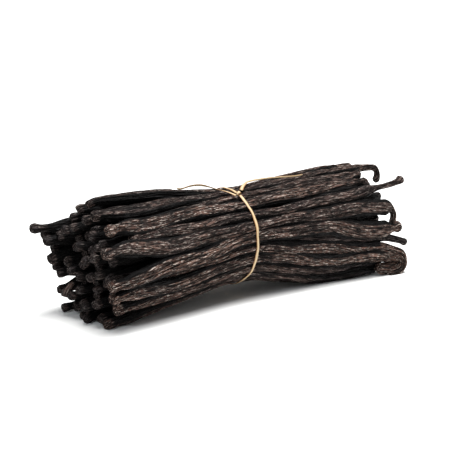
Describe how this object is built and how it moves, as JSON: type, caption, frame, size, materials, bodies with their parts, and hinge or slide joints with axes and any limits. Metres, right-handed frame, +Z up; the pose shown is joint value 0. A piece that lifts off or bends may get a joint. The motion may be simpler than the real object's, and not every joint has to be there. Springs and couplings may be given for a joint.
{
  "type": "bundle of vanilla pods",
  "caption": "Bundle of dark cured vanilla pods lying on its side, tied round the middle with one strand of raffia, blunt ends together at one end and curled stems at the other.",
  "frame": {"origin": "middle of the bundle's length and width, on the surface it lies on", "axes": "+X along the pods from their blunt ends to their stem ends, +Z up, -Y the side with the knot"},
  "size_m": [0.1904, 0.0558, 0.0547],
  "materials": {
    "cured_pod_skin": "oily dark brown-black skin with lengthwise wrinkles",
    "raffia_fibre": "dry golden palm fibre, slightly glossy along the strand"
  },
  "bodies": {
    "root": {"vanilla_pods": "cured_pod_skin", "raffia_tie": "raffia_fibre", "raffia_tail_left": "raffia_fibre", "raffia_tail_right": "raffia_fibre"}
  },
  "joints": []
}
